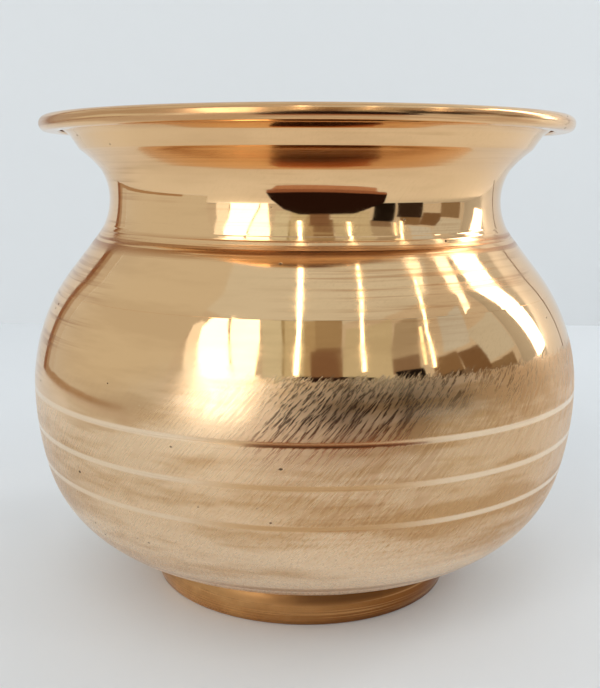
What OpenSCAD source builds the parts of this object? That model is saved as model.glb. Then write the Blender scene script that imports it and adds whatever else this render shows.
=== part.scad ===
// Kalash: a round-bellied water pot of spun and brazed sheet metal.
// The axis of the pot is Z and the floor is z = 0. All sizes are in millimetres.
//
// Every wall is a ring of sheet turned round the axis. Its section is a chain of
// arcs and straights, and a place on an arc is given by the lean of its outward
// normal in degrees: -90 looks down, 0 looks sideways and 90 looks up.

/* [Sheet] */
// Thickness of the sheet that the pot is spun from
sheet = 1; // [0.7:0.05:1.3]
// Gap that the braze fills between two lapped sheets
lap_gap = 0.05; // [0.02:0.01:0.1]
// Length of the inner edge that reaches past each seam
lap = 4; // [2.5:0.1:5]
// Length of the step where the inner edge leaves its own sheet
joggle = 2; // [1:0.1:3]
// Width of the braze run into the corner at the end of each inner edge
braze = 0.9; // [0.5:0.05:1.2]

/* [Foot] */
// Height of the base's underside above the floor
foot_h = 11.2; // [8:0.1:15]
// Diameter of the foot ring at its bulge
foot_d = 84; // [76:0.5:90]
// Thickness of the foot ring
foot_wall = 1.6; // [1:0.1:2.4]
// Height of the bulge above the floor
foot_bulge_z = 4.8; // [3:0.1:6]
// Radius of the bulge in section
foot_curve = 12; // [10:0.5:24]

/* [Belly] */
// Diameter of the belly at its girth
belly_d = 148; // [138:0.5:160]
// Height of the girth above the base's underside
girth_rise = 45.2; // [40:0.1:52]
// Radius of the wall in section above the girth, as a share of the girth's own radius
upper_share = 0.669; // [0.6:0.001:0.74]
// Lean of the straight slope of the shoulder, in degrees
shoulder_angle = 38.2; // [34:0.2:41]
// Radius of the wall in section below the girth
lower_curve = 81.7; // [70:0.5:100]
// Radius of the turn into the flat of the base
base_curve = 32.6; // [26:0.2:38]

/* [Seams] */
// Lean of the wall at the seam between base and belly, in degrees
base_seam_angle = -36.5; // [-45:0.5:-28]
// Length of wall from the seam between belly and shoulder up to the straight slope
shoulder_run = 5.5; // [2:0.1:12]
// Length of the neck's bend from the straight slope up to the neck seam
neck_run = 1.5; // [0.5:0.1:4]

/* [Neck] */
// Diameter of the throat, the narrowest place
throat_d = 105.6; // [98:0.2:111]
// Radius of the wall in section below the throat
neck_low_curve = 16.5; // [12:0.5:20]
// Radius of the wall in section above the throat
neck_high_curve = 14.4; // [10:0.2:20]
// Turn of the wall from the throat up to the flare's crease, in degrees
neck_high_angle = 31.3; // [24:0.1:36]

/* [Mouth] */
// Turn of the wall at the flare's lower crease, in degrees
flare_low_angle = 38; // [36:0.5:42]
// Turn of the wall at the flare's upper crease, in degrees
flare_high_angle = 55; // [50:0.5:60]
// Radius of the flare in section
flare_curve = 24; // [16:0.5:32]
// Turn of the upright collar under the lip, in degrees
collar_angle = 34; // [28:0.5:40]
// Length of the collar along its slope
collar_slope = 4.2; // [3:0.1:6]
// Width from the top of the collar to the middle of the lip's wire
lip_reach = 5.7; // [4.8:0.1:7]
// Height from the top of the collar to the middle of the lip's wire
lip_rise = 2.7; // [2:0.1:3.6]
// Diameter of the wire in the lip
wire_d = 1.6; // [1.2:0.05:2.2]
// Gap between the wire and the sheet rolled round it
wire_gap = 0.2; // [0.15:0.01:0.3]
// Gap that the edge turned back under the lip leaves to the sheet above it
tail_gap = 0.27; // [0.15:0.01:0.6]

/* [Turned lines] */
// Number of grooves round the belly
grooves = 3; // [1:1:3]
// Height of the top groove above the girth
groove_top = 1; // [-2:0.1:4]
// Height from one groove to the next
groove_step = 9.6; // [4:0.1:10]
// Width of a groove
groove_w = 1.4; // [0.8:0.1:2]
// Depth of a groove
groove_deep = 0.3; // [0.1:0.05:0.4]
// Lean of the wall at the faint groove on the base, in degrees
base_groove_angle = -49.5; // [-60:0.5:-46]
// Number of fine lines on each side of the neck seam
fine_lines = 2; // [1:1:3]
// Height from one fine line to the next
fine_step = 1.2; // [0.9:0.1:1.4]
// Width of a fine line
fine_w = 0.8; // [0.4:0.1:0.8]
// Depth of a fine line
fine_deep = 0.15; // [0.05:0.05:0.25]

/* [Hidden] */
$fn = 240;

BRONZE = "#d3a678";
COPPER_BROWN = "#b9783a";
SPELTER = "#d9c08a";

function along(a) = [cos(a), sin(a)];
function lean_at(rise, r) = asin(rise / r);
// Length along an arc turned into degrees of it
function arc_turn(run, r) = run * 180 / (PI * r);

// Centres of the arcs of the belly
girth_z = foot_h + girth_rise;
upper_curve = upper_share * belly_d / 2;
lower_centre = [belly_d / 2 - lower_curve, girth_z];
upper_centre = [belly_d / 2 - upper_curve, girth_z];
turn_z = foot_h + base_curve;
turn_drop = girth_z - turn_z;
turn_shift = sqrt(pow(lower_curve - base_curve, 2) - pow(turn_drop, 2));
turn_centre = [lower_centre[0] + turn_shift, turn_z];
// Lean of the wall where the lower belly runs into the turn of the base
turn_lean = -asin(turn_drop / (lower_curve - base_curve));

// The straight slope of the shoulder takes up what the two arcs leave of the width
bend = upper_curve + neck_low_curve;
slope_run = ((belly_d - throat_d) / 2 - bend * (1 - cos(shoulder_angle))) / sin(shoulder_angle);
slope_foot = upper_centre + upper_curve * along(shoulder_angle);
slope_head = slope_foot + slope_run * along(shoulder_angle + 90);

// Centres of the arcs of the neck
neck_low_centre = slope_head + neck_low_curve * along(shoulder_angle);
throat_z = neck_low_centre[1];
neck_high_centre = [throat_d / 2 + neck_high_curve, throat_z];

// Leans of the wall at the seams beside the slope
shoulder_seam = shoulder_angle - arc_turn(shoulder_run, upper_curve);
neck_seam = shoulder_angle - arc_turn(neck_run, neck_low_curve);

// Creases and centres of the mouth
low_crease = neck_high_centre - neck_high_curve * along(-neck_high_angle);
flare_centre = low_crease + flare_curve * along(-flare_low_angle);
high_crease = flare_centre - flare_curve * along(-flare_high_angle);
// The upper crease bends the other way, so its inner face is the sharp one
high_corner = high_crease - sheet * along(-flare_high_angle);
collar_foot = high_corner + sheet * along(-collar_angle);
collar_head = collar_foot + collar_slope * along(90 - collar_angle);
wire_centre = collar_head + [lip_reach, lip_rise];
roll_r = wire_d / 2 + wire_gap;
lip_span = wire_centre - collar_head;
lip_climb = atan2(lip_span[1], lip_span[0]) + asin(roll_r / norm(lip_span));
lip_run = sqrt(pow(norm(lip_span), 2) - pow(roll_r, 2));
// Length of the edge turned back under the lip, which ends short of the sheet above it
tail = (roll_r * (1 + cos(lip_climb)) - tail_gap) / sin(lip_climb);

// Length by which one stretch of a sheet runs into the next, so that they are one
meet = 0.02;

// Radius and centre of the round bottom of a groove on an arc
function cut_r(w, deep) = (pow(w / 2, 2) + pow(deep, 2)) / (2 * deep);
function groove_z(i) = groove_top - i * groove_step;

// The part of the plane between two leans, seen from the point where it stands
module between_leans(low, high, reach) {
    middle = (low + high) / 2;
    far = reach / cos((high - low) / 8);
    polygon([
        [0, 0],
        far * along(low),
        far * along((low + middle) / 2),
        far * along(middle),
        far * along((middle + high) / 2),
        far * along(high)
    ]);
}

// A band of a ring between two radii and two leans
module band(centre, inner, outer, low, high) {
    translate(centre) intersection() {
        difference() {
            circle(r = outer);
            if (inner > 0) circle(r = inner);
        }
        between_leans(low, high, 1.1 * outer);
    }
}

// Wall that swells outward, its outer face on radius r, set in by an inset
module swell(centre, r, low, high, inset = 0) {
    band(centre, r - inset - sheet, r - inset, low, high);
}

// Wall that draws in like a waist, its outer face on radius r, set in by an inset
module waist(centre, r, low, high, inset = 0) {
    band(centre, r + inset, r + inset + sheet, 180 + low, 180 + high);
}

// Straight wall that climbs from a point of its outer face
module straight(foot, lean, run) {
    up = run * along(lean + 90);
    back = -sheet * along(lean);
    polygon([foot, foot + up, foot + up + back, foot + back]);
}

// Tool that cuts a groove in a face at a lean, outside (side 1) or inside (side -1) of its arc
module groove(centre, r, lean, w, deep, side = 1) {
    cut = cut_r(w, deep);
    translate(centre + (r + side * (cut - deep)) * along(lean)) circle(r = cut);
}

// Inner edge that laps past a seam on an arc that swells, with its step
module swell_lap(centre, r, seam, run) {
    inset = sheet + lap_gap;
    swell(centre, r, seam - arc_turn(joggle, r), seam + arc_turn(run, r), inset);
    swell(centre, r, seam - arc_turn(joggle, r), seam, sheet - 0.5 * lap_gap);
}

// Braze in the corner at the end of a lap that swells
module swell_bead(centre, r, seam, run) {
    end = seam + arc_turn(run, r);
    inner = r - sheet;
    polygon([
        centre + inner * along(end),
        centre + inner * along(end + arc_turn(braze, inner)),
        centre + (inner - braze) * along(end)
    ]);
}

module foot_section() {
    intersection() {
        translate([foot_d / 2 - foot_curve, foot_bulge_z]) difference() {
            circle(r = foot_curve);
            circle(r = foot_curve - foot_wall);
        }
        translate([foot_d / 2 - foot_curve, 0]) square([foot_curve, foot_h + sheet]);
    }
}

// Everything inside the outer face of the base, up to the middle of its turn
module base_solid() {
    translate([0, foot_h]) square([turn_centre[0], base_curve]);
    translate(turn_centre) circle(r = base_curve);
}

module foot_ring() {
    color(COPPER_BROWN) rotate_extrude() difference() {
        foot_section();
        base_solid();
    }
}

// Inner face of the foot ring at a height
function foot_inner(z) =
    foot_d / 2 - foot_curve + sqrt(pow(foot_curve - foot_wall, 2) - pow(z - foot_bulge_z, 2));

// Braze in the corner between the foot ring and the base's underside
module foot_braze() {
    color(SPELTER) rotate_extrude() polygon([
        [foot_inner(foot_h), foot_h],
        [foot_inner(foot_h) - braze, foot_h],
        [foot_inner(foot_h - braze), foot_h - braze]
    ]);
}

module base_bowl() {
    color(BRONZE) rotate_extrude() difference() {
        union() {
            translate([0, foot_h]) square([turn_centre[0], sheet]);
            swell(turn_centre, base_curve, -90, base_seam_angle);
            swell_lap(turn_centre, base_curve, base_seam_angle, lap);
        }
        groove(turn_centre, base_curve, base_groove_angle, groove_w, groove_deep / 2);
    }
}

module base_braze() {
    color(SPELTER) rotate_extrude() swell_bead(turn_centre, base_curve, base_seam_angle, lap);
}

module belly_shell() {
    color(BRONZE) rotate_extrude() difference() {
        union() {
            swell(turn_centre, base_curve, base_seam_angle, turn_lean + arc_turn(meet, base_curve));
            swell(lower_centre, lower_curve, turn_lean, 0);
            swell(upper_centre, upper_curve, 0, shoulder_seam);
            swell_lap(upper_centre, upper_curve, shoulder_seam, lap);
        }
        for (i = [0 : grooves - 1]) {
            z = groove_z(i);
            centre = z > 0 ? upper_centre : lower_centre;
            r = z > 0 ? upper_curve : lower_curve;
            groove(centre, r, lean_at(z, r), groove_w, groove_deep);
        }
    }
}

module shoulder_braze() {
    color(SPELTER) rotate_extrude() swell_bead(upper_centre, upper_curve, shoulder_seam, lap);
}

module shoulder_shell() {
    inset = sheet + lap_gap;
    step = arc_turn(joggle, neck_low_curve);
    tip = arc_turn(lap, neck_low_curve);
    color(BRONZE) rotate_extrude() difference() {
        union() {
            swell(upper_centre, upper_curve, shoulder_seam, shoulder_angle + arc_turn(meet, upper_curve));
            straight(slope_foot, shoulder_angle, slope_run);
            waist(neck_low_centre, neck_low_curve, neck_seam, shoulder_angle + arc_turn(meet, neck_low_curve));
            waist(neck_low_centre, neck_low_curve, neck_seam - tip, neck_seam + step, inset);
            waist(neck_low_centre, neck_low_curve, neck_seam, neck_seam + step, sheet - 0.5 * lap_gap);
        }
        for (i = [1 : fine_lines]) {
            fine_line(neck_seam + arc_turn(i * fine_step, neck_low_curve));
        }
    }
}

module fine_line(lean) {
    groove(neck_low_centre, neck_low_curve, 180 + lean, fine_w, fine_deep, -1);
}

module neck_braze() {
    end = 180 + neck_seam - arc_turn(lap, neck_low_curve);
    inner = neck_low_curve + sheet;
    color(SPELTER) rotate_extrude() polygon([
        neck_low_centre + inner * along(end),
        neck_low_centre + inner * along(end - arc_turn(braze, inner)),
        neck_low_centre + (inner + braze) * along(end)
    ]);
}

// The collar is one sheet from the neck seam up to the edge rolled under the lip
module mouth_collar() {
    color(BRONZE) rotate_extrude() difference() {
        union() {
            waist(neck_low_centre, neck_low_curve, 0, neck_seam);
            waist(neck_high_centre, neck_high_curve, -neck_high_angle - arc_turn(meet, neck_high_curve), 0);
            crease(low_crease, neck_high_angle, flare_low_angle);
            waist(flare_centre, flare_curve, -flare_high_angle - arc_turn(meet, flare_curve), -flare_low_angle);
            swell(high_corner, sheet, -flare_high_angle, -collar_angle + arc_turn(meet, sheet));
            straight(collar_foot, -collar_angle, collar_slope);
            crease(collar_head, collar_angle, 90 - lip_climb);
            straight(collar_head, lip_climb - 90, lip_run);
            lip_roll();
        }
        for (i = [1 : fine_lines]) {
            fine_line(neck_seam - arc_turn(i * fine_step, neck_low_curve));
        }
    }
}

// Sharp outward bend, round on the inner face of the sheet
module crease(corner, low, high) {
    overrun = arc_turn(meet, sheet);
    band(corner, 0, sheet, 180 - high - overrun, 180 - low + overrun);
}

module lip_roll() {
    band(wire_centre, roll_r, roll_r + sheet, 0, lip_climb + 90 + arc_turn(meet, roll_r));
    band(wire_centre, roll_r, roll_r + sheet, -90, 0);
    translate(wire_centre - [tail, roll_r + sheet]) square([tail + meet, sheet]);
}

module rim_wire() {
    color(COPPER_BROWN) rotate_extrude() translate(wire_centre) circle(d = wire_d);
}

foot_ring();
foot_braze();
base_bowl();
base_braze();
belly_shell();
shoulder_braze();
shoulder_shell();
neck_braze();
mouth_collar();
rim_wire();
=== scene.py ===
import math

import bpy
from bpy.props import FloatProperty, FloatVectorProperty, IntProperty, PointerProperty
from mathutils import Matrix, Vector


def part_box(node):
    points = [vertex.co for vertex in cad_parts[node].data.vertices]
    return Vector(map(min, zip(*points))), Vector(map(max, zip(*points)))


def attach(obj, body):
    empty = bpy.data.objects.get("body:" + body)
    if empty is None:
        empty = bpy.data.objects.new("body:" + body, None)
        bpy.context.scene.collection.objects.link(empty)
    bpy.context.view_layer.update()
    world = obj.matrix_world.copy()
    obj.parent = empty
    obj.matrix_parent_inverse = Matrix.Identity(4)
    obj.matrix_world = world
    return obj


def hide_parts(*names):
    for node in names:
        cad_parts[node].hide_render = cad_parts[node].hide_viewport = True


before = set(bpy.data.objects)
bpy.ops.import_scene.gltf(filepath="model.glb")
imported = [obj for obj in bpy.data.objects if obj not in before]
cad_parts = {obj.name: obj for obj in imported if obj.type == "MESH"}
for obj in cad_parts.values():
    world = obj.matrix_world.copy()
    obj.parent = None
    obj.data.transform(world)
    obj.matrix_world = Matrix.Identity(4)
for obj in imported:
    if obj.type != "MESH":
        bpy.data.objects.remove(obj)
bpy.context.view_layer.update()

bl_info = {
    "name": "Kalash pot",
    "version": (1, 0, 0),
    "blender": (4, 5, 0),
    "location": "3D View > Sidebar > Kalash",
    "description": "Spun bronze kalash pot with its turned lines, finishes and studio",
    "category": "Object",
}

MM = 0.001
BODY = "root"

# Corners of CAD nodes, for the heights and radii that the frame already holds
FOOT_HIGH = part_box("foot_ring")[1]
BASE_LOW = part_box("base_bowl")[0]
WIRE_LOW, WIRE_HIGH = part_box("rim_wire")

# Limits of the modelling
SAME_POINT = 0.004 * MM     # nearer points of an outline are one
MERGE = 0.002 * MM          # nearer vertices of a turned piece are merged
ON_AXIS = 0.0001 * MM       # nearer vertices are on the axis
SMOOTH_ANGLE = 32.0         # degrees, edges sharper than this stay sharp

# Rings of points along the straight parts of the section
BASE_RINGS = 8
SLOPE_RINGS = 12
COLLAR_RINGS = 6
TAIL_RINGS = 4
LIP_RINGS = 5
DIP_RINGS = 10
INNER_JOGGLE = 1.6          # where a joggle starts on the inner face, in joggles below the seam


# ---------------------------------------------------------------- sizes and colours

def length(name, description, default):
    return FloatProperty(
        name=name, description=description, default=default, min=0.0, max=1.0, precision=5, unit="LENGTH"
    )


def angle(name, description, default):
    return FloatProperty(
        name=name, description=description, default=math.radians(default), subtype="ANGLE"
    )


def colour(name, description, default):
    return FloatVectorProperty(
        name=name, description=description, default=default, size=3, min=0.0, max=1.0, subtype="COLOR"
    )


class KalashShape(bpy.types.PropertyGroup):
    """Sizes of the pot's section, as its sheets are spun"""

    sheet: length("Sheet", "Thickness of the sheet", 1.0 * MM)
    lap: length("Lap", "Length of the inner edge past each seam", 4.0 * MM)
    lap_gap: length("Lap gap", "Film of braze between lapped sheets", 0.05 * MM)
    joggle: length("Joggle", "Length of the step of each inner edge", 2.0 * MM)
    ease: length("Seam ease", "Rounding of a sheet's edge at a seam", 0.03 * MM)

    foot_height: length("Foot height", "Underside of the base above the floor", BASE_LOW.z)
    foot_radius: length("Foot radius", "Radius of the foot ring at its bulge", FOOT_HIGH.x)
    foot_wall: length("Foot wall", "Thickness of the foot ring", 1.6 * MM)
    foot_bulge: length("Foot bulge", "Height of the foot ring's bulge", 4.8 * MM)
    foot_curve: length("Foot curve", "Radius of the foot ring's bulge in section", 12.0 * MM)

    belly_radius: length("Belly radius", "Radius of the belly at its girth", 74.0 * MM)
    girth: length("Girth", "Height of the girth", 56.4 * MM)
    upper_curve: length("Upper curve", "Radius in section above the girth", 49.506 * MM)
    lower_curve: length("Lower curve", "Radius in section below the girth", 81.7 * MM)
    base_curve: length("Base curve", "Radius in section of the turn into the base", 32.6 * MM)
    shoulder_lean: angle("Shoulder lean", "Lean of the straight slope of the shoulder", 38.2)

    base_seam: angle("Base seam", "Lean of the wall at the seam of the base", -36.5)
    shoulder_run: length("Shoulder run", "Wall from the shoulder seam to the slope", 5.5 * MM)
    neck_run: length("Neck run", "Wall from the slope to the neck seam", 1.5 * MM)

    throat_radius: length("Throat radius", "Radius of the throat", 52.8 * MM)
    neck_low_curve: length("Low neck curve", "Radius in section below the throat", 16.5 * MM)
    neck_high_curve: length("High neck curve", "Radius in section above the throat", 14.4 * MM)
    neck_high_turn: angle("High neck turn", "Turn from the throat to the flare", 31.3)
    flare_low: angle("Flare start", "Turn at the flare's lower crease", 38.0)
    flare_high: angle("Flare end", "Turn at the flare's upper crease", 55.0)
    flare_curve: length("Flare curve", "Radius of the flare in section", 24.0 * MM)
    collar_turn: angle("Collar turn", "Turn of the collar under the lip", 34.0)
    collar_slope: length("Collar slope", "Length of the collar", 4.2 * MM)
    lip_reach: length("Lip reach", "Width from the collar to the lip's wire", 5.7 * MM)
    roll_radius: length("Roll", "Inner radius of the rolled lip", 1.0 * MM)
    tail: length("Tail", "Length of sheet turned back under the lip", 2.7 * MM)

    grooves: IntProperty(name="Grooves", description="Number of grooves round the belly", default=3, min=1)
    groove_top: length("Top groove", "Height of the top groove above the girth", 1.0 * MM)
    groove_step: length("Groove step", "Height from groove to groove", 9.6 * MM)
    groove_width: length("Groove width", "Width of a groove", 1.4 * MM)
    groove_depth: length("Groove depth", "Depth of a groove", 0.035 * MM)
    base_groove: angle("Base groove", "Lean of the wall at the base's faint groove", -49.5)
    fine_lines: IntProperty(name="Fine lines", description="Fine lines each side of the neck seam", default=2)
    fine_step: length("Fine step", "Height from fine line to fine line", 1.2 * MM)
    fine_width: length("Fine width", "Width of a fine line", 0.8 * MM)
    fine_depth: length("Fine depth", "Depth of a fine line", 0.03 * MM)

    step: length("Step", "Length of wall between two rings of points", 1.1 * MM)
    turns: IntProperty(name="Turns", description="Steps of the lathe in one turn", default=288, min=48)


class KalashFinish(bpy.types.PropertyGroup):
    """Colours of the metal and where its finish changes"""

    bronze: colour("Bronze", "Polished pinkish gold metal", (0.90, 0.58, 0.30))
    satin: colour("Satin bronze", "The same metal, brushed", (0.84, 0.59, 0.365))
    groove: colour("Groove bronze", "Bright metal in the grooves", (0.92, 0.71, 0.50))
    # The smoky colour is also painted shade, on the belly's right and at the grooves' fronts
    smoke_and_shade: colour("Smoky bronze", "Brushed metal where it is tarnished", (0.60, 0.35, 0.16))
    residue: colour("Residue", "Brown film that polishing leaves in streaks", (0.46, 0.19, 0.06))
    foot: colour("Foot bronze", "Worn orange-brown metal of the foot", (0.34, 0.13, 0.032))
    # This colour paints the foot's lit left side and its bright lathe streaks
    lit_sheen: colour("Rubbed bronze", "The foot's metal where it is rubbed bright", (0.86, 0.50, 0.21))
    inside: colour("Inner bronze", "Unpolished metal inside the pot", (0.66, 0.42, 0.24))
    braze: colour("Spelter", "Dull yellow braze", (0.62, 0.47, 0.22))
    tarnish: colour("Tarnish", "Brown residue in pits and seams", (0.07, 0.035, 0.018))
    finish_line: length("Finish line", "Height under which the belly is brushed", 71.0 * MM)


# ---------------------------------------------------------------- the pot's section

def place(centre, radius, lean):
    """Point at a lean on a circle of the section."""
    return Vector((centre[0] + radius * math.cos(lean), centre[1] + radius * math.sin(lean)))


class Layout:
    """Centres and leans of the section, worked out from the sizes"""

    def __init__(self, s):
        self.s = s
        self.lower = Vector((s.belly_radius - s.lower_curve, s.girth))
        self.upper = Vector((s.belly_radius - s.upper_curve, s.girth))
        drop = s.girth - s.foot_height - s.base_curve
        shift = math.sqrt((s.lower_curve - s.base_curve) ** 2 - drop ** 2)
        self.turn = Vector((self.lower.x + shift, s.foot_height + s.base_curve))
        self.turn_lean = -math.asin(drop / (s.lower_curve - s.base_curve))

        lean = s.shoulder_lean
        bend = (s.upper_curve + s.neck_low_curve) * (1 - math.cos(lean))
        run = (s.belly_radius - s.throat_radius - bend) / math.sin(lean)
        self.slope_foot = place(self.upper, s.upper_curve, lean)
        self.slope_head = place(self.slope_foot, run, lean + math.pi / 2)
        self.neck_low = place(self.slope_head, s.neck_low_curve, lean)
        self.neck_high = Vector((s.throat_radius + s.neck_high_curve, self.neck_low.y))
        self.shoulder_seam = lean - s.shoulder_run / s.upper_curve
        self.neck_seam = lean - s.neck_run / s.neck_low_curve

        self.low_crease = place(self.neck_high, -s.neck_high_curve, -s.neck_high_turn)
        self.flare = place(self.low_crease, s.flare_curve, -s.flare_low)
        high_crease = place(self.flare, -s.flare_curve, -s.flare_high)
        self.high_corner = place(high_crease, -s.sheet, -s.flare_high)
        self.collar_foot = place(self.high_corner, s.sheet, -s.collar_turn)
        self.collar_head = place(self.collar_foot, s.collar_slope, math.pi / 2 - s.collar_turn)
        self.wire = Vector((self.collar_head.x + s.lip_reach, (WIRE_LOW.z + WIRE_HIGH.z) / 2))
        span = self.wire - self.collar_head
        self.lip_climb = math.atan2(span.y, span.x) + math.asin(s.roll_radius / span.length)


class Section:
    """Closed outline of one sheet, as a list of points of radius and height"""

    def __init__(self, step):
        self.points = []
        self.step = step

    def to(self, point):
        point = Vector(point)
        if not self.points or (point - self.points[-1]).length > SAME_POINT:
            self.points.append(point)

    def arc(self, centre, radius, start, end, dips=(), side=1):
        """Follows a circle from lean to lean. A dip is a lean, a width and a depth; side -1 dips outward."""
        turn = end - start
        count = max(2, math.ceil(abs(turn * radius) / self.step))
        leans = [start + turn * i / count for i in range(count + 1)]
        low, high = min(start, end), max(start, end)
        for middle, width, _ in dips:
            reach = 1.2 * width / radius
            fine = [middle + (i / DIP_RINGS - 0.5) * reach for i in range(DIP_RINGS + 1)]
            leans += [lean for lean in fine if low < lean < high]
        for lean in sorted(leans, reverse=turn < 0):
            offset = 0.0
            for middle, width, depth in dips:
                off_middle = (lean - middle) * radius / width
                if abs(off_middle) < 0.5:
                    offset += depth * math.cos(math.pi * off_middle) ** 2
            self.to(place(centre, radius - side * offset, lean))


def foot_section(lay):
    s = lay.s
    centre = Vector((s.foot_radius - s.foot_curve, s.foot_bulge))
    inner = s.foot_curve - s.foot_wall
    climb = s.foot_height - s.foot_bulge
    edge, step = 0.35 * MM, 0.5 * MM
    out = Section(step)
    out.to((foot_face(s, s.foot_curve, 0.0) - edge, 0.0))
    drop = s.foot_bulge - edge
    out.arc(centre, s.foot_curve, -math.asin(drop / s.foot_curve), math.asin(climb / s.foot_curve))
    out.arc(centre, inner, math.asin(climb / inner), -math.asin(drop / inner))
    out.to((foot_face(s, inner, 0.0) + edge, 0.0))
    return out.points


def foot_face(s, radius, height):
    """Radius of a face of the foot ring at a height."""
    return s.foot_radius - s.foot_curve + math.sqrt(radius ** 2 - (height - s.foot_bulge) ** 2)


def base_section(lay):
    s = lay.s
    seam = s.base_seam
    ease = s.ease / s.base_curve
    lapped = s.base_curve - s.sheet - s.lap_gap
    faint = 0.4
    out = Section(s.step)
    out.to((0.0, s.foot_height))
    for i in range(1, BASE_RINGS):
        out.to((lay.turn.x * i / BASE_RINGS, s.foot_height))
    groove = (s.base_groove, s.groove_width, faint * s.groove_depth)
    out.arc(lay.turn, s.base_curve, -math.pi / 2, seam - ease, [groove])
    out.to(place(lay.turn, s.base_curve - s.ease, seam))
    out.to(place(lay.turn, lapped, seam))
    out.arc(lay.turn, lapped, seam, seam + s.lap / s.base_curve)
    out.arc(lay.turn, lapped - s.sheet, seam + s.lap / s.base_curve, seam - s.joggle / s.base_curve)
    out.arc(lay.turn, s.base_curve - s.sheet, seam - INNER_JOGGLE * s.joggle / s.base_curve, -math.pi / 2)
    for i in range(BASE_RINGS - 1, -1, -1):
        out.to((lay.turn.x * i / BASE_RINGS, s.foot_height + s.sheet))
    return out.points


def belly_section(lay):
    s = lay.s
    seam = lay.shoulder_seam
    lapped = s.upper_curve - s.sheet - s.lap_gap
    dips = []
    for i in range(s.grooves):
        height = s.groove_top - i * s.groove_step
        radius = s.upper_curve if height > 0 else s.lower_curve
        dips.append((math.asin(height / radius), s.groove_width, s.groove_depth))
    out = Section(s.step)
    out.to(place(lay.turn, s.base_curve - s.ease, s.base_seam))
    out.arc(lay.turn, s.base_curve, s.base_seam + s.ease / s.base_curve, lay.turn_lean)
    out.arc(lay.lower, s.lower_curve, lay.turn_lean, 0.0, [d for d in dips if d[0] < 0])
    out.arc(lay.upper, s.upper_curve, 0.0, seam - s.ease / s.upper_curve, [d for d in dips if d[0] > 0])
    out.to(place(lay.upper, s.upper_curve - s.ease, seam))
    out.to(place(lay.upper, lapped, seam))
    out.arc(lay.upper, lapped, seam, seam + s.lap / s.upper_curve)
    out.arc(lay.upper, lapped - s.sheet, seam + s.lap / s.upper_curve, seam - s.joggle / s.upper_curve)
    out.arc(lay.upper, s.upper_curve - s.sheet, seam - INNER_JOGGLE * s.joggle / s.upper_curve, 0.0)
    out.arc(lay.lower, s.lower_curve - s.sheet, 0.0, lay.turn_lean)
    out.arc(lay.turn, s.base_curve - s.sheet, lay.turn_lean, s.base_seam)
    return out.points


def fine_dips(lay, side):
    """Fine lines beside the neck seam, below it (side 1) or above it (side -1)."""
    s = lay.s
    step = side * s.fine_step / s.neck_low_curve
    seam = math.pi + lay.neck_seam
    return [(seam + i * step, s.fine_width, s.fine_depth) for i in range(1, s.fine_lines + 1)]


def shoulder_section(lay):
    s = lay.s
    half = math.pi
    lean = s.shoulder_lean
    lapped = s.neck_low_curve + s.sheet + s.lap_gap
    inner = s.neck_low_curve + s.sheet
    tip = lay.neck_seam - s.lap / s.neck_low_curve
    joggle = lay.neck_seam + s.joggle / s.neck_low_curve
    out = Section(s.step)
    out.to(place(lay.upper, s.upper_curve - s.ease, lay.shoulder_seam))
    out.arc(lay.upper, s.upper_curve, lay.shoulder_seam + s.ease / s.upper_curve, lean)
    for i in range(1, SLOPE_RINGS):
        out.to(lay.slope_foot.lerp(lay.slope_head, i / SLOPE_RINGS))
    eased = half + lay.neck_seam + s.ease / s.neck_low_curve
    out.arc(lay.neck_low, s.neck_low_curve, half + lean, eased, fine_dips(lay, 1), -1)
    out.to(place(lay.neck_low, s.neck_low_curve + s.ease, half + lay.neck_seam))
    out.to(place(lay.neck_low, lapped, half + lay.neck_seam))
    out.arc(lay.neck_low, lapped, half + lay.neck_seam, half + tip)
    out.arc(lay.neck_low, lapped + s.sheet, half + tip, half + joggle)
    foot_inner = place(lay.upper, s.upper_curve - s.sheet, lean)
    head_inner = place(lay.neck_low, inner, half + lean)
    for i in range(2, SLOPE_RINGS):
        out.to(head_inner.lerp(foot_inner, i / SLOPE_RINGS))
    out.arc(lay.upper, s.upper_curve - s.sheet, lean, lay.shoulder_seam)
    return out.points


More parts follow.
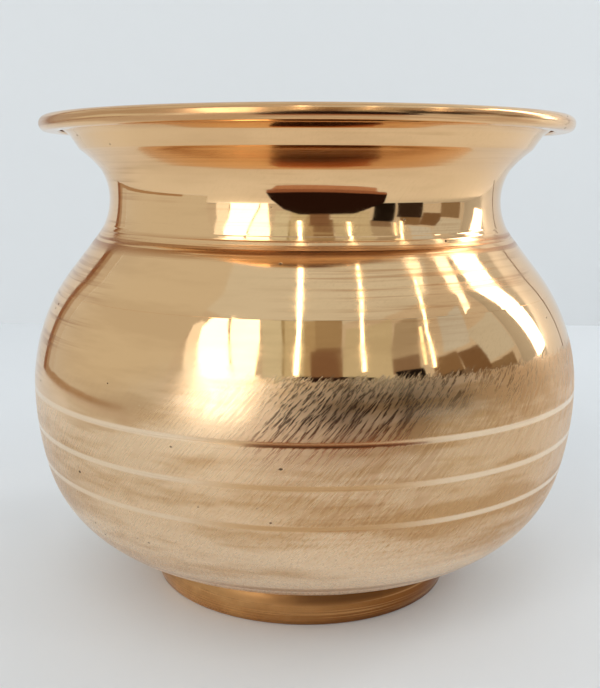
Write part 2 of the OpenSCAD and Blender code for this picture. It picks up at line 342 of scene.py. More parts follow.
def mouth_section(lay):
    s = lay.s
    half = math.pi
    inner = s.neck_low_curve + s.sheet
    lip = s.roll_radius + s.sheet
    corner_step, roll_step, tail_round = 0.35 * MM, 0.3 * MM, 0.25 * MM
    out = Section(s.step)
    eased = half + lay.neck_seam - s.ease / s.neck_low_curve
    out.to(place(lay.neck_low, s.neck_low_curve + s.ease, half + lay.neck_seam))
    out.arc(lay.neck_low, s.neck_low_curve, eased, half, fine_dips(lay, -1), -1)
    out.arc(lay.neck_high, s.neck_high_curve, half, half - s.neck_high_turn)
    out.arc(lay.flare, s.flare_curve, half - s.flare_low, half - s.flare_high)
    out.step = corner_step
    out.arc(lay.high_corner, s.sheet, -s.flare_high, -s.collar_turn)
    for i in range(1, COLLAR_RINGS):
        out.to(lay.collar_foot.lerp(lay.collar_head, i / COLLAR_RINGS))
    out.to(lay.collar_head)
    # Outer face of the sheet runs on inside the roll, round the wire and back out under the lip
    out.arc(lay.wire, s.roll_radius, lay.lip_climb + half / 2, -half / 2)
    out.to((lay.wire.x - s.tail, lay.wire.y - s.roll_radius))
    out.to((lay.wire.x - s.tail - tail_round, lay.wire.y - s.roll_radius - 0.5 * s.sheet))
    out.to((lay.wire.x - s.tail, lay.wire.y - lip))
    for i in range(1, TAIL_RINGS):
        out.to((lay.wire.x - s.tail * (1 - i / TAIL_RINGS), lay.wire.y - lip))
    out.step = roll_step
    out.arc(lay.wire, lip, -half / 2, lay.lip_climb + half / 2)
    out.step = s.step
    lip_run = place(lay.collar_head, s.sheet, half / 2 + lay.lip_climb)
    rim_edge = place(lay.wire, lip, lay.lip_climb + half / 2)
    for i in range(1, LIP_RINGS):
        out.to(rim_edge.lerp(lip_run, i / LIP_RINGS))
    out.arc(lay.collar_head, s.sheet, half / 2 + lay.lip_climb, half - s.collar_turn)
    collar_head = place(lay.collar_head, s.sheet, half - s.collar_turn)
    for i in range(1, LIP_RINGS):
        out.to(collar_head.lerp(lay.high_corner, i / LIP_RINGS))
    out.to(lay.high_corner)
    out.arc(lay.flare, s.flare_curve + s.sheet, half - s.flare_high, half - s.flare_low)
    out.arc(lay.neck_high, s.neck_high_curve + s.sheet, half - s.neck_high_turn, half)
    out.arc(lay.neck_low, inner, half, half + lay.neck_seam)
    return out.points


# ---------------------------------------------------------------- modelling

def start_fresh():
    """Object mode, with nothing selected."""
    if bpy.context.object and bpy.context.object.mode != "OBJECT":
        bpy.ops.object.mode_set(mode="OBJECT")
    bpy.ops.object.select_all(action="DESELECT")


def turn_on_lathe(name, points, turns):
    """Draws a closed section by extruding a point, and spins it round the axis."""
    start_fresh()
    bpy.ops.mesh.primitive_plane_add(size=MM, location=(0.0, 0.0, 0.0))
    piece = bpy.context.object
    piece.name = name
    piece.data.name = name
    bpy.ops.object.mode_set(mode="EDIT")
    bpy.ops.mesh.select_all(action="SELECT")
    bpy.ops.mesh.merge(type="CENTER")
    bpy.ops.mesh.select_mode(type="VERT")
    bpy.ops.mesh.select_all(action="SELECT")
    bpy.ops.transform.translate(value=(points[0].x, 0.0, points[0].y))
    for here, there in zip(points, points[1:]):
        move = there - here
        bpy.ops.mesh.extrude_vertices_move(TRANSFORM_OT_translate={"value": (move.x, 0.0, move.y)})
    bpy.ops.mesh.select_all(action="SELECT")
    bpy.ops.object.mode_set(mode="OBJECT")
    meets_axis = any(abs(vertex.co.x) < ON_AXIS for vertex in piece.data.vertices)
    if not meets_axis:
        close_outline(piece, len(points))
    bpy.ops.object.mode_set(mode="EDIT")
    bpy.ops.mesh.select_all(action="SELECT")
    bpy.ops.mesh.spin(steps=turns, angle=2 * math.pi, center=(0.0, 0.0, 0.0), axis=(0.0, 0.0, 1.0))
    bpy.ops.mesh.select_all(action="SELECT")
    bpy.ops.mesh.remove_doubles(threshold=MERGE)
    bpy.ops.mesh.select_all(action="SELECT")
    bpy.ops.mesh.normals_make_consistent(inside=False)
    bpy.ops.object.mode_set(mode="OBJECT")
    return piece


def close_outline(piece, count):
    """Joins the last point of the outline to the first."""
    bpy.ops.object.mode_set(mode="EDIT")
    bpy.ops.mesh.select_all(action="DESELECT")
    bpy.ops.object.mode_set(mode="OBJECT")
    for vertex in piece.data.vertices:
        vertex.select = vertex.index in (0, count - 1)
    bpy.ops.object.mode_set(mode="EDIT")
    bpy.ops.mesh.edge_face_add()
    bpy.ops.object.mode_set(mode="OBJECT")


def finish_piece(piece, node, slot, *materials):
    """Gives a turned piece its finish and puts it in its node's place."""
    for material in materials:
        piece.data.materials.append(material)
    start_fresh()
    piece.select_set(True)
    bpy.context.view_layer.objects.active = piece
    bpy.ops.object.shade_smooth_by_angle(angle=math.radians(SMOOTH_ANGLE))
    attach(piece, BODY)
    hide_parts(node)


def give_inner_finish(piece, middle=None, top=1.0):
    """Faces below a top that look at the axis, or at a middle height on it, take the second material."""
    for face in piece.data.polygons:
        x, y, z = face.center
        rise = 0.0 if middle is None else z - middle
        if z < top and Vector((x, y, rise)).dot(face.normal) < 0:
            face.material_index = 1


# ---------------------------------------------------------------- materials

# Finish lines above and below every piece
ALL_BRUSHED = 1.0
ALL_POLISHED = 0.0


class Nodes:
    """Builds one node material, node by node"""

    def __init__(self, name):
        self.material = bpy.data.materials.new(name)
        self.material.use_nodes = True
        self.tree = self.material.node_tree
        self.tree.nodes.clear()

    def add(self, kind, wires=None, out=0, **settings):
        """Adds a node, sets its settings, and links or sets its inputs. Gives back one of its outputs."""
        node = self.tree.nodes.new(kind)
        for key, value in settings.items():
            setattr(node, key, value)
        for key, value in (wires or {}).items():
            if isinstance(value, bpy.types.NodeSocket):
                self.tree.links.new(value, node.inputs[key])
            else:
                node.inputs[key].default_value = value
        return node.outputs[out] if node.outputs else None

    def math(self, operation, *values):
        return self.add("ShaderNodeMath", dict(enumerate(values)), operation=operation)

    def ramp(self, value, low, high, to_low=0.0, to_high=1.0, smooth=True):
        kind = "SMOOTHSTEP" if smooth else "LINEAR"
        wires = {"Value": value, "From Min": low, "From Max": high, "To Min": to_low, "To Max": to_high}
        return self.add("ShaderNodeMapRange", wires, interpolation_type=kind)

    def noise(self, vector, scale, detail=2.0, roughness=0.5):
        wires = {"Vector": vector, "Scale": scale, "Detail": detail, "Roughness": roughness}
        return self.add("ShaderNodeTexNoise", wires)

    def stretch(self, vector, scale):
        return self.add("ShaderNodeMapping", {"Vector": vector, "Scale": scale})

    def mix(self, factor, a, b):
        return self.add("ShaderNodeMix", {0: factor, 6: a, 7: b}, out=2, data_type="RGBA")

    def bump(self, height, distance, normal=None):
        wires = {"Height": height, "Distance": distance, "Strength": 1.0}
        if normal is not None:
            wires["Normal"] = normal
        return self.add("ShaderNodeBump", wires)

    def finish(self, **wires):
        shader = self.add("ShaderNodeBsdfPrincipled", wires)
        self.add("ShaderNodeOutputMaterial", {"Surface": shader})
        return self.material


def rgba(values):
    return (values[0], values[1], values[2], 1.0)


def darker(values, share):
    return rgba([share * value for value in values])


def slanted(nodes, place_on_pot, height, slant, across, lengthwise):
    """Coordinates that run along scratches climbing round the axis at a slant, in radians a metre."""
    angle_here = nodes.math("MULTIPLY", height, -slant)
    wires = {"Vector": place_on_pot, "Angle": angle_here}
    turned = nodes.add("ShaderNodeVectorRotate", wires, rotation_type="Z_AXIS")
    return nodes.stretch(turned, (across, across, lengthwise))


def near_height(nodes, height, middle, half_width, soft):
    """1 within half a width of a height, falling softly to 0."""
    off = nodes.math("ABSOLUTE", nodes.math("SUBTRACT", height, middle))
    return nodes.ramp(off, half_width + soft, half_width - soft)


def worked_zone(n, across, height, bold, finish_line):
    """1 under the finish line, which ends in the scratches' tips and is lower and softer at the left."""
    softest, sharpest, tips, drop = 8.0 * MM, 0.7 * MM, 0.9 * MM, 10.0 * MM
    fade = n.ramp(across, -40.0 * MM, -5.0 * MM, softest, sharpest)
    edge = n.math("ADD", height, n.ramp(bold, 0.35, 0.65, -tips, tips, False))
    line = n.ramp(across, -50.0 * MM, -22.0 * MM, finish_line - drop, finish_line)
    below = n.math("SUBTRACT", line, edge)
    return n.ramp(n.math("DIVIDE", below, fade), -1.0, 1.0)


def scratch_bite(n, here, across, height):
    """How hard the scratches bite: in patches, most at the front towards the right, least near the base."""
    least_left, least_low = 0.25, 0.35
    patches = n.noise(n.stretch(here, (22.0, 22.0, 34.0)), 1.0, 2.0)
    bite = n.ramp(patches, 0.36, 0.62, 0.25, 1.0)
    bite = n.math("MULTIPLY", bite, n.ramp(across, -45.0 * MM, 10.0 * MM, least_left, 1.0))
    return n.math("MULTIPLY", bite, n.ramp(height, 20.0 * MM, 36.0 * MM, least_low, 1.0))


def pit_marks(n, here):
    """Small pits of mixed sizes, in groups."""
    largest, soft = 0.13, 0.04
    place_of_pits = n.stretch(here, (230.0, 230.0, 390.0))
    wires = {"Vector": place_of_pits, "Scale": 1.0, "Randomness": 1.0}
    cells = n.add("ShaderNodeTexVoronoi", wires, out=0)
    size = n.ramp(n.noise(here, 85.0, 1.0), 0.54, 0.72, 0.0, largest)
    return n.ramp(n.math("SUBTRACT", size, cells), 0.0, soft)


def residue_marks(n, here, height, scored, seams):
    """Streaks of brown residue that the cloth left along the turning, and bands of it at the seams."""
    strongest, in_brushed, in_gaps = 0.6, 0.25, 0.12
    streaks = n.noise(n.stretch(here, (16.0, 16.0, 1000.0)), 1.0, 3.0, 0.6)
    cloudy = n.ramp(n.noise(n.stretch(here, (20.0, 20.0, 36.0)), 1.0, 2.0), 0.50, 0.64)
    stain = n.math("MULTIPLY", n.math("MULTIPLY", n.ramp(streaks, 0.48, 0.66), cloudy), strongest)
    stain = n.math("MULTIPLY", stain, n.ramp(scored, 0.0, 1.0, 1.0, in_brushed, False))
    turned_hard = 0.0
    for middle, half_width, strength in seams:
        band = near_height(n, height, middle, half_width, 0.7 * half_width)
        turned_hard = n.math("MAXIMUM", band, turned_hard)
        broken = n.ramp(streaks, 0.43, 0.54, in_gaps * strength, strength)
        stain = n.math("MAXIMUM", stain, n.math("MULTIPLY", band, broken))
    return stain, turned_hard


def smoke_and_right_shade(n, here, across, height, fine, bite, scored):
    """Brown smears along the turning, grime between the scratches, and painted shade that darkens the belly
    towards its right; all faint where the metal is polished.
    """
    smears, between, right_shade_share, low, in_polish = 0.8, 0.5, 0.45, 0.4, 0.32
    smudge_and_shade = n.ramp(n.noise(n.stretch(here, (15.0, 15.0, 85.0)), 1.0, 4.0, 0.62), 0.45, 0.62, 0.0, smears)
    grimy = n.math("MULTIPLY", n.math("MULTIPLY", n.ramp(fine, 0.46, 0.36), bite), between)
    # Painted shade: the belly is darker towards its right side, above its lowest part
    right = n.ramp(across, -10.0 * MM, 50.0 * MM, 0.0, right_shade_share)
    right = n.math("MULTIPLY", right, n.ramp(height, 22.0 * MM, 38.0 * MM))
    smudge_and_shade = n.math("ADD", smudge_and_shade, n.math("ADD", grimy, right))
    smudge_and_shade = n.math("MULTIPLY", n.math("MINIMUM", smudge_and_shade, 1.0), n.ramp(height, 16.0 * MM, 34.0 * MM, low, 1.0))
    return n.math("MULTIPLY", smudge_and_shade, n.ramp(scored, 0.0, 1.0, in_polish, 1.0, False))


def bronze_finish(name, finish, finish_line, grooves=(), seams=()):
    """Turned bronze, polished above the finish line and scratched on a slant below it.

    A groove is a height. A seam is a height, half a width and the strength of its residue.
    """
    n = Nodes(name)
    here = n.add("ShaderNodeTexCoord", out=3)
    across = n.add("ShaderNodeSeparateXYZ", {0: here}, out=0)
    height = n.add("ShaderNodeSeparateXYZ", {0: here}, out=2)

    # Slanted scratches, bold ones and fine ones
    bold = n.noise(slanted(n, here, height, 10.5, 1250.0, 120.0), 1.0, 2.0, 0.6)
    fine = n.noise(slanted(n, here, height, 12.5, 2600.0, 250.0), 1.0, 2.0, 0.6)
    bite = scratch_bite(n, here, across, height)
    worked = worked_zone(n, across, height, bold, finish_line)

    # Grooves, hardly scratched, with a painted reflection in them: a painted highlight at the sides, painted
    # dark shade at the front
    half_groove, groove_soft, scratched_groove = 0.62 * MM, 0.30 * MM, 0.15
    grooved = 0.0
    for middle in grooves:
        grooved = n.math("MAXIMUM", near_height(n, height, middle, half_groove, groove_soft), grooved)
    scored = n.math("MULTIPLY", worked, n.ramp(grooved, 0.0, 1.0, 1.0, scratched_groove, False))
    at_side = n.ramp(n.math("ABSOLUTE", across), 6.0 * MM, 34.0 * MM, 0.0, 0.9)
    groove_side_highlight = n.math("MULTIPLY", grooved, at_side)
    groove_front_shade = n.math("SUBTRACT", n.math("MULTIPLY", grooved, 0.9), groove_side_highlight)

    fine_lines = n.math("MULTIPLY", n.ramp(fine, 0.50, 0.60), 0.7)
    any_lines = n.math("MAXIMUM", n.ramp(bold, 0.48, 0.56), fine_lines)
    scratched = n.math("MULTIPLY", any_lines, n.math("MULTIPLY", scored, bite))

    # Lines left by the lathe, and the unevenness that hand polishing leaves
    lathe = n.noise(n.stretch(here, (7.0, 7.0, 2400.0)), 1.0, 3.0, 0.6)
    lathe_soft = n.noise(n.stretch(here, (5.0, 5.0, 520.0)), 1.0, 2.0, 0.5)
    dents = n.noise(n.stretch(here, (38.0, 38.0, 55.0)), 1.0, 1.0)
    pits = pit_marks(n, here)
    stain, turned_hard = residue_marks(n, here, height, scored, seams)
    smoke_and_shade = smoke_and_right_shade(n, here, across, height, fine, bite, scored)

    brushed = n.mix(n.ramp(height, 42.0 * MM, 22.0 * MM), rgba(finish.satin), rgba(finish.groove))
    bright = n.mix(scored, rgba(finish.bronze), brushed)
    # Smoke and painted shade cloud the metal
    clouded = n.mix(smoke_and_shade, bright, rgba(finish.smoke_and_shade))
    # Painted highlight in the grooves at the sides, and painted shade in them at the front
    banded = n.mix(groove_side_highlight, clouded, rgba(finish.groove))
    banded = n.mix(groove_front_shade, banded, rgba(finish.smoke_and_shade))
    stained = n.mix(stain, banded, rgba(finish.residue))
    base = n.mix(n.math("MULTIPLY", pits, 0.85), stained, rgba(finish.tarnish))

    # Roughness of each surface, or what each mark adds to it
    sleekest, dullest, brushed_rough, groove_rough, pit_rough = 0.035, 0.085, 0.25, 0.20, 0.7
    added = [(scratched, 0.36), (stain, 0.10)]
    if seams:
        added.append((turned_hard, 0.07))
    polished_rough = n.ramp(lathe_soft, 0.35, 0.7, sleekest, dullest, False)
    rough = n.add("ShaderNodeMix", {0: scored, 2: polished_rough, 3: brushed_rough}, data_type="FLOAT")
    for mark, amount in added:
        rough = n.math("ADD", rough, n.math("MULTIPLY", mark, amount))
    for mark, amount in ((grooved, groove_rough), (pits, pit_rough)):
        rough = n.math("MAXIMUM", rough, n.math("MULTIPLY", mark, amount))

    # Height of each mark
    lathe_lines = n.math("MULTIPLY", lathe, n.ramp(turned_hard, 0.0, 1.0, 1.0, 9.0, False))
    normal = n.bump(dents, 0.07 * MM)
    normal = n.bump(lathe_soft, 0.003 * MM, normal)
    normal = n.bump(lathe_lines, 0.0017 * MM, normal)
    normal = n.bump(n.math("MULTIPLY", scratched, -1.0), 0.009 * MM, normal)
    normal = n.bump(n.math("MULTIPLY", pits, -1.0), 0.05 * MM, normal)
    return n.finish(**{"Base Color": base, "Metallic": 1.0, "Roughness": rough, "Normal": normal})


def foot_finish(name, finish):
    """Worn orange-brown metal, with a painted highlight at the left and painted shade, partly dirt, at its
    top edge under the base and at the floor.
    """
    n = Nodes(name)
    here = n.add("ShaderNodeTexCoord", out=3)
    across = n.add("ShaderNodeSeparateXYZ", {0: here}, out=0)
    height = n.add("ShaderNodeSeparateXYZ", {0: here}, out=2)
    lathe = n.noise(n.stretch(here, (12.0, 12.0, 1500.0)), 1.0, 3.0, 0.6)
    cloud = n.noise(here, 70.0, 4.0, 0.6)
    # Painted shade, partly dirt: darker under the base's overhang and at the floor
    at_top = n.ramp(height, 4.8 * MM, 6.8 * MM)
    at_floor = n.ramp(height, 2.0 * MM, 0.4 * MM, 0.0, 0.8)
    dirt_and_shade = n.math("MULTIPLY", n.math("ADD", at_top, at_floor), n.ramp(cloud, 0.3, 0.6, 0.4, 1.0))
    dirt_and_shade = n.math("MULTIPLY", dirt_and_shade, n.ramp(across, -34.0 * MM, 6.0 * MM, 0.4, 1.0))
    # Painted highlight: lighter towards the left, in clouds
    at_left = n.ramp(across, 30.0 * MM, -34.0 * MM)
    lit_sheen = n.math("MULTIPLY", n.ramp(cloud, 0.3, 0.7, 0.5, 1.0), at_left)
    sheen_and_lathe = n.math("MAXIMUM", lit_sheen, n.ramp(lathe, 0.48, 0.62, 0.0, 0.6))
    lit_foot_metal = n.mix(sheen_and_lathe, rgba(finish.foot), rgba(finish.lit_sheen))
    base = n.mix(n.math("MULTIPLY", dirt_and_shade, 0.78), lit_foot_metal, darker(finish.residue, 0.4))
    rough = n.math("ADD", n.ramp(lathe, 0.3, 0.7, 0.16, 0.32, False), n.math("MULTIPLY", dirt_and_shade, 0.3))
    normal = n.bump(cloud, 0.05 * MM)
    normal = n.bump(lathe, 0.01 * MM, normal)
    return n.finish(**{"Base Color": base, "Metallic": 1.0, "Roughness": rough, "Normal": normal})


def inside_finish(name, finish):
    """Unpolished metal inside the pot, with coarse lathe marks."""
    n = Nodes(name)
    here = n.add("ShaderNodeTexCoord", out=3)
    lathe = n.noise(n.stretch(here, (8.0, 8.0, 900.0)), 1.0, 3.0, 0.6)
    cloud = n.noise(here, 28.0, 4.0, 0.6)
    base = n.mix(n.ramp(cloud, 0.35, 0.7), rgba(finish.inside), darker(finish.inside, 0.6))
    rough = n.ramp(lathe, 0.3, 0.7, 0.3, 0.5, False)
    normal = n.bump(lathe, 0.02 * MM, n.bump(cloud, 0.1 * MM))
    return n.finish(**{"Base Color": base, "Metallic": 1.0, "Roughness": rough, "Normal": normal})


def braze_finish(name, finish):
    """Dull spelter, lumpy where it has run."""
    n = Nodes(name)
    here = n.add("ShaderNodeTexCoord", out=3)
    lumps = n.noise(here, 420.0, 3.0)
    base = n.mix(n.ramp(lumps, 0.35, 0.65), rgba(finish.braze), darker(finish.braze, 0.6))
    rough = n.ramp(lumps, 0.3, 0.7, 0.35, 0.6)
    normal = n.bump(lumps, 0.15 * MM)
    return n.finish(**{"Base Color": base, "Metallic": 1.0, "Roughness": rough, "Normal": normal})


# ---------------------------------------------------------------- pieces

def crook_of_neck(lay):
    """Seam band where the shoulder turns up into the neck."""
    return (lay.slope_head.y + 0.1 * MM, 2.0 * MM, 0.9)


class KALASH_OT_foot(bpy.types.Operator):
    """Turn the foot ring"""

    bl_idname = "kalash.foot"
    bl_label = "Foot ring"

    def execute(self, context):
        shape, finish = context.scene.kalash_shape, context.scene.kalash_finish
        piece = turn_on_lathe("foot_ring_turned", foot_section(Layout(shape)), shape.turns)
        finish_piece(piece, "foot_ring", "foot_metal", foot_finish("foot_bronze", finish))
        return {"FINISHED"}


class KALASH_OT_base(bpy.types.Operator):
    """Turn the dished base"""

    bl_idname = "kalash.base"
    bl_label = "Base"

    def execute(self, context):
        shape, finish = context.scene.kalash_shape, context.scene.kalash_finish
        lay = Layout(shape)
        piece = turn_on_lathe("base_bowl_turned", base_section(lay), shape.turns)
        give_inner_finish(piece, middle=lay.turn.y)
        groove = lay.turn.y + shape.base_curve * math.sin(shape.base_groove)
        dirt = (groove - 0.5 * MM, 0.2 * MM, 0.6)
        satin = bronze_finish("base_bronze", finish, ALL_BRUSHED, [groove], [dirt])
        finish_piece(piece, "base_bowl", "satin_metal", satin, inside_finish("inner_bronze", finish))
        return {"FINISHED"}


class KALASH_OT_belly(bpy.types.Operator):
    """Turn the belly with its grooves"""

    bl_idname = "kalash.belly"
    bl_label = "Belly"

    def execute(self, context):
        shape, finish = context.scene.kalash_shape, context.scene.kalash_finish
        piece = turn_on_lathe("belly_shell_turned", belly_section(Layout(shape)), shape.turns)
        give_inner_finish(piece)
        top = shape.girth + shape.groove_top
        grooves = [top - i * shape.groove_step for i in range(shape.grooves)]
        metal = bronze_finish("belly_bronze", finish, finish.finish_line, grooves)
        finish_piece(piece, "belly_shell", "satin_metal", metal, bpy.data.materials["inner_bronze"])
        return {"FINISHED"}


class KALASH_OT_shoulder(bpy.types.Operator):
    """Turn the shoulder"""

    bl_idname = "kalash.shoulder"
    bl_label = "Shoulder"

    def execute(self, context):
        shape, finish = context.scene.kalash_shape, context.scene.kalash_finish
        lay = Layout(shape)
        piece = turn_on_lathe("shoulder_shell_turned", shoulder_section(lay), shape.turns)
        give_inner_finish(piece)
        metal = bronze_finish("shoulder_bronze", finish, ALL_POLISHED, seams=[crook_of_neck(lay)])
        finish_piece(piece, "shoulder_shell", "polished_metal", metal, bpy.data.materials["inner_bronze"])
        return {"FINISHED"}


class KALASH_OT_mouth(bpy.types.Operator):
    """Turn the neck, the flare and the rolled lip from one sheet"""

    bl_idname = "kalash.mouth"
    bl_label = "Neck and mouth"

    def execute(self, context):
        shape, finish = context.scene.kalash_shape, context.scene.kalash_finish
        lay = Layout(shape)
        piece = turn_on_lathe("mouth_collar_turned", mouth_section(lay), shape.turns)
        give_inner_finish(piece, top=lay.neck_low.y)
        # The lip's band is partly brown residue and partly painted shade, darkening the rolled lip
        lip = (lay.wire.y, 1.8 * MM, 0.6)
        flare = ((lay.low_crease.y + lay.high_corner.y) / 2, 2.4 * MM, 0.12)
        metal = bronze_finish("mouth_bronze", finish, ALL_POLISHED, seams=[crook_of_neck(lay), flare, lip])
        finish_piece(piece, "mouth_collar", "polished_metal", metal, bpy.data.materials["inner_bronze"])
        return {"FINISHED"}


class KALASH_OT_braze(bpy.types.Operator):
    """Give the braze and the wire their metal"""

    bl_idname = "kalash.braze"
    bl_label = "Braze and wire"

    def execute(self, context):
        finish = context.scene.kalash_finish
        spelter = braze_finish("spelter", finish)
        wire = foot_finish("wire_metal", finish)
        metals = {"rim_wire": wire}
        for seam in ("foot", "base", "shoulder", "neck"):
            metals[seam + "_braze"] = spelter
        for node, metal in metals.items():
            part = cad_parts[node]
            part.data.materials.clear()
            part.data.materials.append(metal)
        return {"FINISHED"}


# ---------------------------------------------------------------- studio

LAMPS_AIM = 0.08            # height that the lamps face
SCREENS_MIDDLE = 0.085      # height that the screens' elevations are measured from
SCREEN_FACET = 8.0          # degrees of azimuth in one face of a screen


def seen_from_pot(azimuth, elevation, distance):
    """Place in the studio: azimuth 0 is the camera's side and 90 its right, in degrees."""
    a, e = math.radians(azimuth), math.radians(elevation)
    flat = distance * math.cos(e)
    return Vector((flat * math.sin(a), -flat * math.cos(a), distance * math.sin(e)))


def area_lamp(name, azimuth, elevation, distance, size, radiance, turn=0.0):
    """Rectangular lamp that faces the pot, given the brightness of its face and a turn in degrees."""
    light = bpy.data.lights.new(name, "AREA")
    light.shape = "RECTANGLE"
    light.size, light.size_y = size
    light.energy = radiance * math.pi * size[0] * size[1]
    lamp = bpy.data.objects.new(name, light)
    bpy.context.scene.collection.objects.link(lamp)
    target = Vector((0.0, 0.0, LAMPS_AIM))
    lamp.location = target + seen_from_pot(azimuth, elevation, distance)
    facing = (target - lamp.location).to_track_quat("-Z", "Y").to_matrix()
    lamp.rotation_euler = (facing @ Matrix.Rotation(math.radians(turn), 3, "Z")).to_euler()
    lamp.visible_camera = False
    return lamp


def sheet_of(name, points, faces, material):
    mesh = bpy.data.meshes.new(name)
    mesh.from_pydata([tuple(point) for point in points], [], faces)
    mesh.materials.append(material)
    sheet = bpy.data.objects.new(name, mesh)
    bpy.context.scene.collection.objects.link(sheet)
    return sheet


def card(name, corners, material):
    """Flat sheet of the studio, from its corners."""
    return sheet_of(name, corners, [tuple(range(len(corners)))], material)


def only_in_reflections(sheet):
    sheet.visible_camera = False
    sheet.visible_diffuse = False
    sheet.visible_shadow = False


def screen(name, rows, brightness, distance=2.4):
    """Curved screen that only the polish shows. A row is an elevation and the two azimuths it spans."""
    widest = max(right - left for _, left, right in rows)
    steps = max(1, math.ceil(widest / SCREEN_FACET))
    points, faces = [], []
    for elevation, left, right in rows:
        for i in range(steps + 1):
            azimuth = left + (right - left) * i / steps
            points.append(seen_from_pot(azimuth, elevation, distance) + Vector((0.0, 0.0, SCREENS_MIDDLE)))
    for row in range(len(rows) - 1):
        for i in range(steps):
            corner = row * (steps + 1) + i
            faces.append((corner, corner + 1, corner + steps + 2, corner + steps + 1))
    only_in_reflections(sheet_of(name, points, faces, glow(name + "_cloth", brightness)))


def glow(name, brightness):
    """Plain emitting cloth."""
    n = Nodes(name)
    shader = n.add("ShaderNodeEmission", {"Color": rgba(brightness), "Strength": 1.0})
    n.add("ShaderNodeOutputMaterial", {"Surface": shader})
    return n.material


def paper(name, colour_of_paper):
    """Plain matt paper."""
    n = Nodes(name)
    return n.finish(**{"Base Color": rgba(colour_of_paper), "Roughness": 0.75, "Specular IOR Level": 0.2})


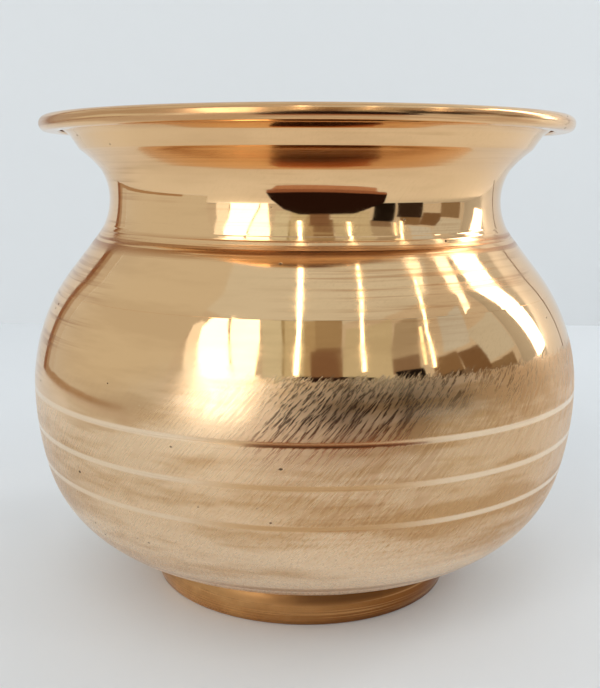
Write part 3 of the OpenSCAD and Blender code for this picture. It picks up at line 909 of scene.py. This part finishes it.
class KALASH_OT_studio(bpy.types.Operator):
    """Set up the floor, the backdrop, the lamps and the camera"""

    bl_idname = "kalash.studio"
    bl_label = "Studio"

    def execute(self, context):
        self.room()
        self.flags()
        self.screens()
        self.lamps()
        self.camera(context)
        context.scene.view_settings.view_transform = "Standard"
        return {"FINISHED"}

    def room(self):
        """Pale floor, and a pale backdrop behind the pot."""
        back, wide, tall = 0.42, 3.0, 3.0
        floor = [(-wide, -wide, 0), (wide, -wide, 0), (wide, back, 0), (-wide, back, 0)]
        backdrop = [(-wide, back, 0), (wide, back, 0), (wide, back, tall), (-wide, back, tall)]
        card("floor", floor, paper("floor_paper", (0.80, 0.83, 0.86)))
        card("backdrop", backdrop, paper("backdrop_paper", (0.72, 0.745, 0.765)))

    def flags(self):
        """Dark and brown flags just behind the lens, which give the polish its contrast."""
        behind_lens, table_depth, off_floor = -0.262, 0.05, 0.4 * MM
        front = [(-0.10, 0.022), (0.228, 0.022), (0.21, 0.085), (0.15, 0.125),
                 (0.11, 0.152), (-0.02, 0.152), (-0.055, 0.125), (-0.085, 0.07)]
        low = [(-0.10, 0.0), (0.23, 0.0), (0.228, 0.022), (-0.10, 0.022)]
        lens = [(0.005, 0.15), (0.05, 0.15), (0.05, 0.218), (0.005, 0.218)]
        table = [(-0.09, 0.0), (0.19, 0.0), (0.15, table_depth), (-0.06, table_depth)]
        upright = {
            "front_flag": ((0.020, 0.009, 0.007), front),
            "low_flag": ((0.30, 0.14, 0.09), low),
            "lens_flag": ((0.22, 0.145, 0.10), lens),
        }
        for name, (brightness, outline) in upright.items():
            corners = [(x, behind_lens, z) for x, z in outline]
            only_in_reflections(card(name, corners, glow(name + "_cloth", brightness)))
        # Painted shadow: a brown sheet on the floor in front, which the polish shows as shade on the table
        corners = [(x, behind_lens + y, off_floor) for x, y in table]
        cloth = glow("table_flag_cloth", (0.46, 0.27, 0.19))
        only_in_reflections(card("table_flag", corners, cloth))

    def screens(self):
        """Pale and dim screens further off, which the polish shows as columns and panes."""
        pane, bar, wall = 2.1, 1.9, 0.54
        screen("left_pane_1", [(-9, -42, -25), (5, -42, -26.5), (18, -44, -30), (33, -50, -35),
                               (41, -53, -38.5), (45, -52.5, -41), (48.5, -48, -43)], (3.6, 3.6, 3.5), pane)
        screen("left_pane_2", [(-9, -24.5, -21.5), (5, -25.5, -21), (18, -29, -21), (33, -34, -21.5),
                               (41, -37.5, -22.5), (51, -42.5, -26)], (3.3, 3.2, 3.0), pane)
        screen("left_pane_glow", [(-9, -50, -42), (18, -51, -44), (33, -56, -50), (41, -58, -53),
                                  (44, -56, -53)], (1.25, 1.30, 1.35), pane)
        screen("strip_1", [(22, -5.2, -3.2), (48, -5, -2.8), (72, -7, -1.5)], (6.0, 5.8, 5.2), pane)
        screen("strip_2", [(23, 22.3, 24), (36, 24.6, 26.2), (51, 30.8, 32.8), (65, 45, 48)],
               (5.0, 4.8, 4.2), pane)
        screen("strip_3", [(20, 52.8, 54.2), (29, 55.2, 56.6), (37, 58, 59.6), (47, 67, 69), (53, 76, 79)],
               (5.0, 4.8, 4.2), pane)
        screen("strip_4", [(22, 49.5, 50.5), (32, 52.2, 53.6), (40, 56.6, 58.2)], (2.6, 2.4, 1.9), pane)
        screen("right_pane_1", [(36, 85, 90), (42, 92, 98), (47, 92, 99), (50, 91, 95)],
               (2.8, 2.8, 2.8), pane)
        screen("right_pane_2", [(51, 79, 84), (57, 74, 81)], (2.2, 2.2, 2.2), pane)

        screen("pale_column_1", [(8, -17, -9), (22, -18, -10), (37, -20, -11), (52, -25, -14)],
               (0.67, 0.75, 0.72))
        screen("thin_line", [(22, -10, -9), (37, -11, -10), (52, -14, -12)], (0.40, 0.38, 0.27))
        screen("pale_column_2", [(8, -8, 1), (22, -9, -1), (37, -10, -1), (52, -12, -1)], (0.60, 0.62, 0.52))
        screen("dim_column_1", [(8, 1, 4), (22, -1, 3), (37, -1, 4), (52, -1, 5)], (0.46, 0.42, 0.31))
        screen("brown_column_low", [(20, 3, 14), (37, 4, 16)], (0.26, 0.19, 0.13))
        screen("brown_column", [(37, 4, 16), (53, 5, 21)], (0.38, 0.33, 0.24))
        screen("pale_column_3", [(8, 13, 34), (21, 14, 35), (33, 16, 38), (47, 21, 47)], (0.58, 0.61, 0.54))
        screen("grey_column_low", [(20, 35, 47), (28, 36.5, 49.5)], (0.25, 0.20, 0.16))
        screen("grey_column", [(28, 36.5, 49.5), (33, 38, 51), (45, 47, 61)], (0.43, 0.42, 0.38))
        screen("dark_column_1", [(-9, 36, 48.5), (21, 36, 48.5)], (0.012, 0.009, 0.008), bar)
        screen("dark_column_2", [(-9, 50, 66), (15, 50, 66)], (0.035, 0.024, 0.018), bar)
        screen("brown_column_2", [(9, 67, 80), (23, 66, 79)], (0.20, 0.14, 0.09))
        screen("brown_column_3", [(14, 52, 66), (24, 54, 66)], (0.24, 0.18, 0.12))
        screen("grey_column_2", [(-6, 79, 94), (13, 79, 94)], (0.27, 0.22, 0.16))
        screen("cool_column", [(25, 60, 75), (40, 69, 86)], (0.60, 0.71, 0.84))
        screen("right_column", [(14, 80, 97), (30, 76, 97)], (0.60, 0.68, 0.74))
        screen("ceiling", [(50, -62, 104), (74, -62, 104)], (0.66, 0.74, 0.80), 2.9)

        # Left wall, with its brown end and foot, and narrow edges at both ends of the backdrop
        screen("left_wall", [(-9, -118, -54), (40, -118, -54), (75, -127, -54)], (0.635, 0.665, 0.655), wall)
        screen("left_wall_shade", [(-9, -124, -118), (48, -124, -118)], (0.60, 0.60, 0.56), wall)
        screen("left_wall_end", [(-9, -127, -124), (48, -127, -124)], (0.43, 0.34, 0.25), wall)
        screen("left_wall_foot", [(-10.6, -127, -70), (-6.5, -127, -70)], (0.40, 0.30, 0.21), wall - 0.01)
        screen("left_edge", [(-9, -131, -127), (42, -131, -127)], (0.28, 0.15, 0.09), wall + 0.01)
        screen("right_edge", [(-9, 128, 129), (30, 128, 129)], (0.20, 0.12, 0.08), wall - 0.04)

    def lamps(self):
        """Soft lamps that the polish doesn't show, one window at the right that it does, and even air."""
        unseen = (
            area_lamp("left_window", -41, 20, 2.2, (0.42, 2.3), 3.6),
            area_lamp("left_window_side", -28, 20, 2.2, (0.50, 2.3), 2.4),
            area_lamp("top_strip_1", -5, 50, 2.5, (0.09, 2.1), 6.0),
            area_lamp("top_strip_2", 25, 37, 2.5, (0.08, 1.15), 5.0),
            area_lamp("top_strip_3", 58, 35, 2.5, (0.09, 1.5), 6.0),
        )
        for lamp in unseen:
            lamp.visible_glossy = False
        area_lamp("right_window", 108, 25, 0.95, (0.15, 0.72), 5.0, 8)
        world = bpy.data.worlds.new("studio_air")
        bpy.context.scene.world = world
        world.use_nodes = True
        air = world.node_tree.nodes["Background"]
        air.inputs["Color"].default_value = (0.63, 0.64, 0.63, 1.0)
        air.inputs["Strength"].default_value = 0.98

    def camera(self, context):
        """Camera at the photo's angle. Its focal length and its shift are in pixels of the picture."""
        focal, long_side, picture_middle, view_middle = 925.8, 688, 300.0, 268.5
        tilt_down, roll_left = 10.73, 0.18
        data = bpy.data.cameras.new("camera")
        camera = bpy.data.objects.new("camera", data)
        context.scene.collection.objects.link(camera)
        context.scene.camera = camera
        data.sensor_width = 36.0
        data.lens = focal / long_side * data.sensor_width
        data.shift_x = (picture_middle - view_middle) / long_side
        camera.location = (-0.00956, -0.25848, 0.11385)
        down = Matrix.Rotation(math.radians(90 - tilt_down), 3, "X")
        roll = Matrix.Rotation(math.radians(roll_left), 3, "Z")
        camera.rotation_euler = (down @ roll).to_euler()


class KALASH_PT_panel(bpy.types.Panel):
    """Builds the pot and its studio"""

    bl_label = "Kalash"
    bl_idname = "KALASH_PT_panel"
    bl_space_type = "VIEW_3D"
    bl_region_type = "UI"
    bl_category = "Kalash"

    def draw(self, context):
        for operator in OPERATORS:
            self.layout.operator(operator.bl_idname)


OPERATORS = (
    KALASH_OT_foot,
    KALASH_OT_base,
    KALASH_OT_belly,
    KALASH_OT_shoulder,
    KALASH_OT_mouth,
    KALASH_OT_braze,
    KALASH_OT_studio,
)
CLASSES = (KalashShape, KalashFinish, *OPERATORS, KALASH_PT_panel)


def register():
    for one in CLASSES:
        bpy.utils.register_class(one)
    bpy.types.Scene.kalash_shape = PointerProperty(type=KalashShape)
    bpy.types.Scene.kalash_finish = PointerProperty(type=KalashFinish)


def unregister():
    del bpy.types.Scene.kalash_finish
    del bpy.types.Scene.kalash_shape
    for one in reversed(CLASSES):
        bpy.utils.unregister_class(one)


def main():
    register()
    bpy.ops.kalash.foot()
    bpy.ops.kalash.base()
    bpy.ops.kalash.belly()
    bpy.ops.kalash.shoulder()
    bpy.ops.kalash.mouth()
    bpy.ops.kalash.braze()
    bpy.ops.kalash.studio()


if __name__ == "__main__":
    main()
